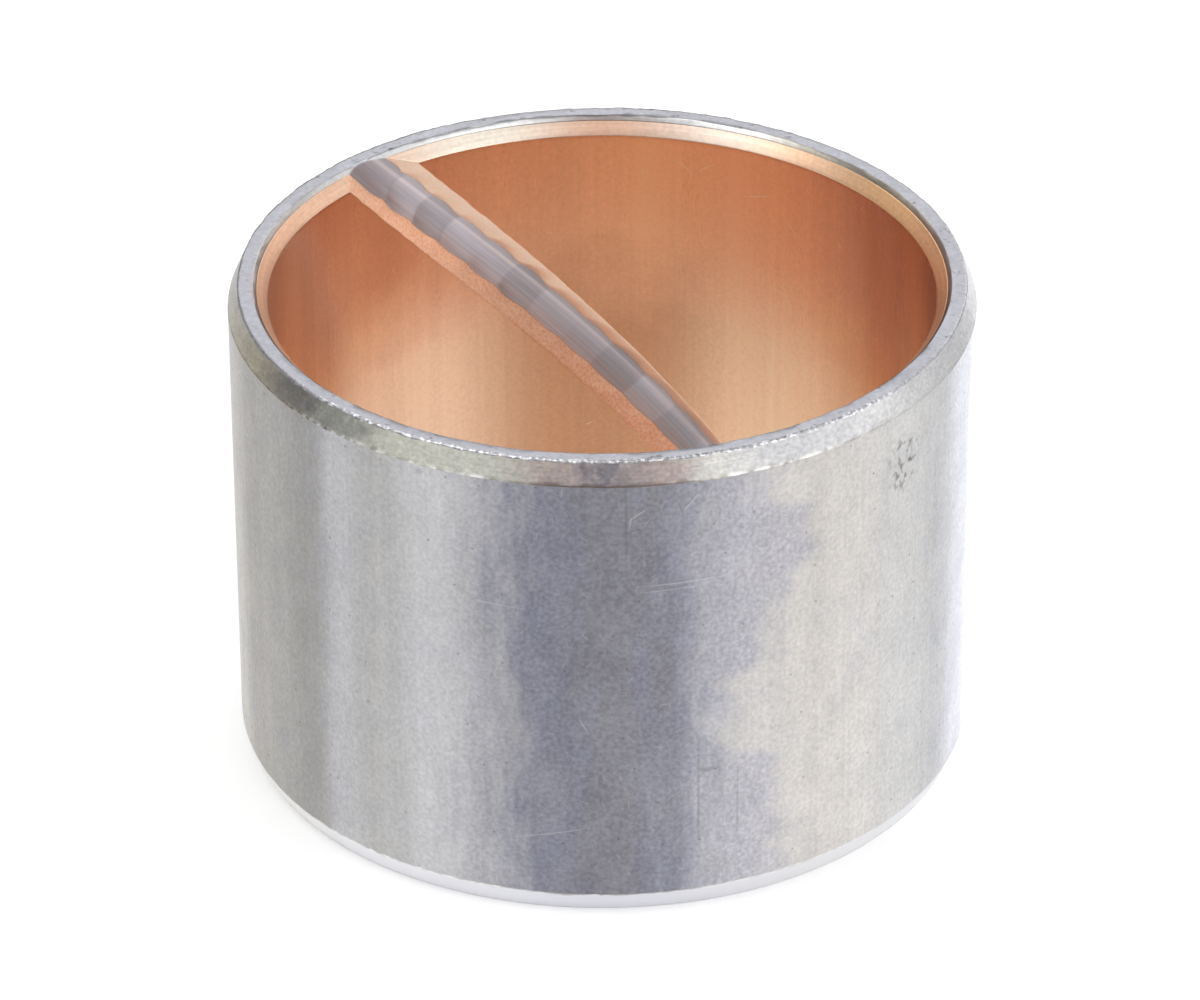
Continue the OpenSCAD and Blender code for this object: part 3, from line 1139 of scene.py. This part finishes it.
# %% [markdown]
# ## Floor
# The bushing stands on white paper. Paper is a plain diffuse surface: it catches the part's soft
# shadow, and it is the bright field that the steel and the bore mirror. A little glow that only the
# camera and mirrored rays see lifts it to white.

# %% Floor
FLOOR_HALF = 3.0
PAPER_GLOW = 0.2

floor_mesh = bpy.data.meshes.new("floor")
floor_ring = [(x * FLOOR_HALF, y * FLOOR_HALF, 0) for x, y in ((-1, -1), (1, -1), (1, 1), (-1, 1))]
floor_mesh.from_pydata(floor_ring, [], [(0, 1, 2, 3)])
floor = bpy.data.objects.new("floor", floor_mesh)
bpy.context.scene.collection.objects.link(floor)
# Paper: matt, so it shows the shadow and no highlight
white_paper, tree = new_material("white_paper")
paths = add(tree, "ShaderNodeLightPath").outputs
seen = paths["Is Camera Ray"]
for other in ("Is Glossy Ray", "Is Transmission Ray"):
    seen = add(tree, "ShaderNodeMath", {0: seen, 1: paths[other]}, operation="MAXIMUM")
lift = add(tree, "ShaderNodeMath", {0: seen, 1: PAPER_GLOW}, operation="MULTIPLY")
paper = add(tree, "ShaderNodeBsdfDiffuse", {"Color": linear("#f2f2f2")})
glow = add(tree, "ShaderNodeEmission", {"Strength": lift})
both = add(tree, "ShaderNodeAddShader", {0: paper, 1: glow})
add(tree, "ShaderNodeOutputMaterial", {"Surface": both})
floor_mesh.materials.append(white_paper)
print(f"floor {2 * FLOOR_HALF:.0f} m square")

# %% [markdown]
# ## Lights
# Softboxes stand round the bushing a metre away, and a dim even sky fills the gaps. On ground steel
# each lamp shows as one upright band, half way round between the camera and the lamp, so the bands of
# the outside were matched one lamp at a time. The high lamps at the sides also reach the paper inside
# the bore.

# %% Lights
WORLD_FILL = 0.35
# Name, degrees to the right of the camera, elevation, width and height in metres, brightness
LAMPS = (
    ("left_front", -45, 48, 0.5, 0.4, 0.85),
    ("left_softbox", -75, 48, 0.5, 0.4, 1.7),
    ("left_high", -80, 68, 0.5, 0.4, 2.8),
    ("left_strip", -92, 20, 0.14, 0.3, 0.5),
    ("left_rear", -140, 36, 0.7, 0.4, 0.95),
    ("right_softbox", 60, 20, 1.1, 0.3, 2.85),
    ("right_far", 105, 20, 0.5, 0.3, 1.5),
    ("right_high", 75, 48, 1.5, 0.4, 1.1),
    ("right_rear", 140, 25, 0.5, 0.4, 1.8),
    ("right_edge", 155, 20, 0.3, 0.4, 2),
    ("back_softbox", 180, 38, 0.6, 0.5, 1.85),
    ("front_top", 8, 60, 0.6, 0.5, 1.35),
)


def softbox(name, azimuth, elevation, width, height, brightness):
    """A rectangular lamp a metre away that faces the bushing."""
    data = bpy.data.lights.new(name, "AREA")
    data.shape = "RECTANGLE"
    data.size = width
    data.size_y = height
    data.energy = brightness * math.pi * width * height
    lamp = bpy.data.objects.new(name, data)
    bpy.context.scene.collection.objects.link(lamp)
    turn = math.radians(azimuth)
    rise = math.radians(elevation)
    level = math.cos(rise)
    towards = Vector((math.sin(turn) * level, -math.cos(turn) * level, math.sin(rise)))
    lamp.location = towards + Vector((0, 0, length * MM / 2))
    lamp.rotation_euler = towards.to_track_quat("Z", "Y").to_euler()


for lamp in LAMPS:
    softbox(*lamp)

world = bpy.data.worlds.new("studio")
bpy.context.scene.world = world
world.use_nodes = True
tree = world.node_tree
tree.nodes.clear()
sky = add(tree, "ShaderNodeBackground", {"Color": linear("#ffffff"), "Strength": WORLD_FILL})
add(tree, "ShaderNodeOutputWorld", {"Surface": sky})
bpy.context.scene.view_settings.view_transform = "Standard"
print(len(LAMPS), "softboxes and a sky of", WORLD_FILL)
